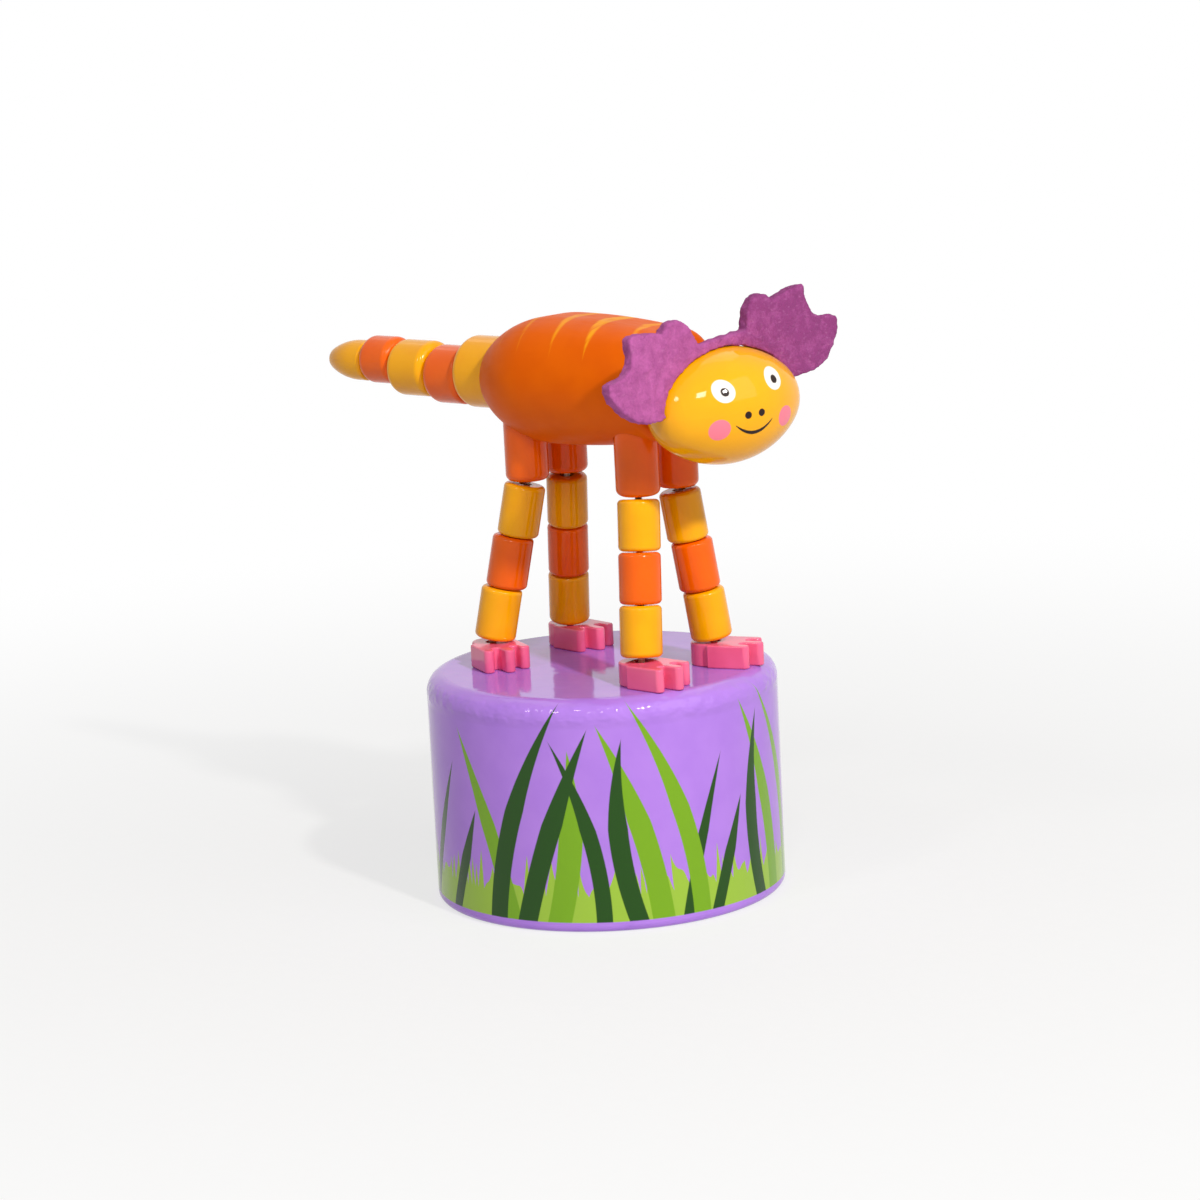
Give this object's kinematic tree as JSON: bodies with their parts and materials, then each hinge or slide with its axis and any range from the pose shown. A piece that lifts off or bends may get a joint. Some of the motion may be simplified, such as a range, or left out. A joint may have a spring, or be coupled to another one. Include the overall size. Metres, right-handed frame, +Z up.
{
  "type": "push puppet",
  "caption": "Wooden push puppet: a beaded lizard with a felt neck frill stands on a drum and folds down when the button under the drum is pressed.",
  "frame": {"origin": "middle of the drum's underside", "axes": "+X is the way the animal faces, +Y is its left, +Z is up"},
  "size_m": [0.0842, 0.05, 0.0861],
  "materials": {
    "purple_lacquer": "gloss lacquer with a printed grass pattern round the side",
    "bare_wood": "bare sanded wood",
    "pink_lacquer": "gloss lacquer",
    "yellow_lacquer": "gloss lacquer",
    "orange_lacquer": "gloss lacquer",
    "felt": "wool felt",
    "string": "twisted nylon string",
    "spring_steel": "drawn wire"
  },
  "bodies": {
    "drum": {"base_drum": "purple_lacquer", "front_left_foot": "pink_lacquer", "front_right_foot": "pink_lacquer", "rear_left_foot": "pink_lacquer", "rear_right_foot": "pink_lacquer", "return_spring": "spring_steel", "front_left_string": "string", "front_right_string": "string", "rear_left_string": "string", "rear_right_string": "string"},
    "button": {"push_button": "bare_wood"},
    "torso": {"body_barrel": "orange_lacquer", "front_left_thigh": "orange_lacquer", "front_right_thigh": "orange_lacquer", "rear_left_thigh": "orange_lacquer", "rear_right_thigh": "orange_lacquer"},
    "front_left_lower": {"front_left_lower_bead": "yellow_lacquer"},
    "front_left_middle": {"front_left_middle_bead": "orange_lacquer"},
    "front_left_upper": {"front_left_upper_bead": "yellow_lacquer"},
    "front_right_lower": {"front_right_lower_bead": "yellow_lacquer"},
    "front_right_middle": {"front_right_middle_bead": "orange_lacquer"},
    "front_right_upper": {"front_right_upper_bead": "yellow_lacquer"},
    "rear_left_lower": {"rear_left_lower_bead": "yellow_lacquer"},
    "rear_left_middle": {"rear_left_middle_bead": "orange_lacquer"},
    "rear_left_upper": {"rear_left_upper_bead": "yellow_lacquer"},
    "rear_right_lower": {"rear_right_lower_bead": "yellow_lacquer"},
    "rear_right_middle": {"rear_right_middle_bead": "orange_lacquer"},
    "rear_right_upper": {"rear_right_upper_bead": "yellow_lacquer"},
    "tail_1": {"tail_bead_1": "yellow_lacquer"},
    "tail_2": {"tail_bead_2": "orange_lacquer"},
    "tail_3": {"tail_bead_3": "yellow_lacquer"},
    "tail_4": {"tail_bead_4": "orange_lacquer"},
    "tail_end": {"tail_tip": "yellow_lacquer"},
    "neck": {"neck_cord": "string"},
    "head": {"head": "yellow_lacquer", "frill": "felt"}
  },
  "joints": [
    {"name": "button_press", "type": "slide", "parent": "drum", "child": "button", "axis": [0, 0, 1], "range_m": [0, 0.007], "stiffness_N_per_m": 600, "springref_m": -0.006, "deforming": ["return_spring", "front_left_string", "front_right_string", "rear_left_string", "rear_right_string"]},
    {"name": "front_left_ankle", "type": "hinge", "parent": "drum", "child": "front_left_lower", "pos_m": [0.01221, 0.00751, 0.03687], "axis": [0, 1, 0], "range_deg": [-49.4, 0], "stiffness_Nm_per_rad": 0.004},
    {"name": "front_left_low_knee", "type": "hinge", "parent": "front_left_lower", "child": "front_left_middle", "pos_m": [0.01144, 0.00633, 0.04406], "axis": [0, 1, 0], "range_deg": [-7.1, 0], "stiffness_Nm_per_rad": 0.001},
    {"name": "front_left_high_knee", "type": "hinge", "parent": "front_left_middle", "child": "front_left_upper", "pos_m": [0.01526, 0.0051, 0.0516], "axis": [0, 1, 0], "range_deg": [0, 14.9], "stiffness_Nm_per_rad": 0.0005},
    {"name": "front_right_ankle", "type": "hinge", "parent": "drum", "child": "front_right_lower", "pos_m": [0.01221, -0.00751, 0.03687], "axis": [0, 1, 0], "range_deg": [-49.4, 0], "stiffness_Nm_per_rad": 0.004},
    {"name": "front_right_low_knee", "type": "hinge", "parent": "front_right_lower", "child": "front_right_middle", "pos_m": [0.01144, -0.00633, 0.04406], "axis": [0, 1, 0], "range_deg": [-7.1, 0], "stiffness_Nm_per_rad": 0.001},
    {"name": "front_right_high_knee", "type": "hinge", "parent": "front_right_middle", "child": "front_right_upper", "pos_m": [0.01526, -0.0051, 0.0516], "axis": [0, 1, 0], "range_deg": [0, 14.9], "stiffness_Nm_per_rad": 0.0005},
    {"name": "rear_left_ankle", "type": "hinge", "parent": "drum", "child": "rear_left_lower", "pos_m": [-0.01482, 0.00746, 0.03734], "axis": [0, 1, 0], "range_deg": [-54.7, 0], "stiffness_Nm_per_rad": 0.004},
    {"name": "rear_left_low_knee", "type": "hinge", "parent": "rear_left_lower", "child": "rear_left_middle", "pos_m": [-0.01341, 0.00627, 0.04476], "axis": [0, 1, 0], "range_deg": [-3.2, 0], "stiffness_Nm_per_rad": 0.001},
    {"name": "rear_left_high_knee", "type": "hinge", "parent": "rear_left_middle", "child": "rear_left_upper", "pos_m": [-0.00744, 0.00517, 0.05154], "axis": [0, 1, 0], "range_deg": [0, 51.2], "stiffness_Nm_per_rad": 0.0005},
    {"name": "rear_right_ankle", "type": "hinge", "parent": "drum", "child": "rear_right_lower", "pos_m": [-0.01527, -0.00773, 0.03743], "axis": [0, 1, 0], "range_deg": [-57.5, 0], "stiffness_Nm_per_rad": 0.004},
    {"name": "rear_right_low_knee", "type": "hinge", "parent": "rear_right_lower", "child": "rear_right_middle", "pos_m": [-0.00916, -0.00654, 0.0441], "axis": [0, 1, 0], "range_deg": [0, 0.7], "stiffness_Nm_per_rad": 0.001},
    {"name": "rear_right_high_knee", "type": "hinge", "parent": "rear_right_middle", "child": "rear_right_upper", "pos_m": [-0.0076, -0.00527, 0.05147], "axis": [0, 1, 0], "range_deg": [0, 51.8], "stiffness_Nm_per_rad": 0.0005},
    {"name": "body_bow", "type": "hinge", "parent": "front_right_lower", "child": "torso", "pos_m": [0.01479, -0.00439, 0.05742], "axis": [0, 1, 0], "range_deg": [0, 62], "stiffness_Nm_per_rad": 0.006},
    {"name": "tail_joint_1", "type": "hinge", "parent": "torso", "child": "tail_1", "pos_m": [-0.01557, 0, 0.06954], "axis": [0, 1, 0], "range_deg": [-9.4, 0], "stiffness_Nm_per_rad": 0.003},
    {"name": "tail_joint_2", "type": "hinge", "parent": "tail_1", "child": "tail_2", "pos_m": [-0.02329, 0, 0.06979], "axis": [0, 1, 0], "range_deg": [-9.4, 0], "stiffness_Nm_per_rad": 0.002},
    {"name": "tail_joint_3", "type": "hinge", "parent": "tail_2", "child": "tail_3", "pos_m": [-0.03021, 0, 0.07054], "axis": [0, 1, 0], "range_deg": [-9.4, 0], "stiffness_Nm_per_rad": 0.001},
    {"name": "tail_joint_4", "type": "hinge", "parent": "tail_3", "child": "tail_4", "pos_m": [-0.03773, 0, 0.07204], "axis": [0, 1, 0], "range_deg": [-9.4, 0], "stiffness_Nm_per_rad": 0.0008},
    {"name": "tail_tip_joint", "type": "hinge", "parent": "tail_4", "child": "tail_end", "pos_m": [-0.0434, 0, 0.07159], "axis": [0, 1, 0], "range_deg": [-9.4, 0], "stiffness_Nm_per_rad": 0.0005},
    {"name": "neck_nod", "type": "hinge", "parent": "torso", "child": "neck", "pos_m": [0.0164, 0, 0.06739], "axis": [0, 1, 0], "range_deg": [0, 22.8], "stiffness_Nm_per_rad": 0.006},
    {"name": "head_turn", "type": "hinge", "parent": "neck", "child": "head", "pos_m": [0.0164, 0, 0.07339], "axis": [1, 0, 0], "range_deg": [-40, 40]}
  ],
  "couplings": [
    {"joint": "front_left_ankle", "follows": "button_press", "rad_per_m": -119.68},
    {"joint": "front_left_low_knee", "follows": "button_press", "rad_per_m": -16.705},
    {"joint": "front_left_high_knee", "follows": "button_press", "rad_per_m": 35.655},
    {"joint": "front_right_ankle", "follows": "button_press", "rad_per_m": -119.68},
    {"joint": "front_right_low_knee", "follows": "button_press", "rad_per_m": -16.705},
    {"joint": "front_right_high_knee", "follows": "button_press", "rad_per_m": 35.655},
    {"joint": "rear_left_ankle", "follows": "button_press", "rad_per_m": -132.65},
    {"joint": "rear_left_low_knee", "follows": "button_press", "rad_per_m": -7.2306},
    {"joint": "rear_left_high_knee", "follows": "button_press", "rad_per_m": 124.17},
    {"joint": "rear_right_ankle", "follows": "button_press", "rad_per_m": -139.38},
    {"joint": "rear_right_low_knee", "follows": "button_press", "rad_per_m": 1.2467},
    {"joint": "rear_right_high_knee", "follows": "button_press", "rad_per_m": 125.41},
    {"joint": "body_bow", "follows": "button_press", "rad_per_m": 150.35},
    {"joint": "tail_joint_1", "follows": "button_press", "rad_per_m": -22.44},
    {"joint": "tail_joint_2", "follows": "button_press", "rad_per_m": -22.44},
    {"joint": "tail_joint_3", "follows": "button_press", "rad_per_m": -22.44},
    {"joint": "tail_joint_4", "follows": "button_press", "rad_per_m": -22.44},
    {"joint": "tail_tip_joint", "follows": "button_press", "rad_per_m": -22.44},
    {"joint": "neck_nod", "follows": "button_press", "rad_per_m": 54.853}
  ]
}
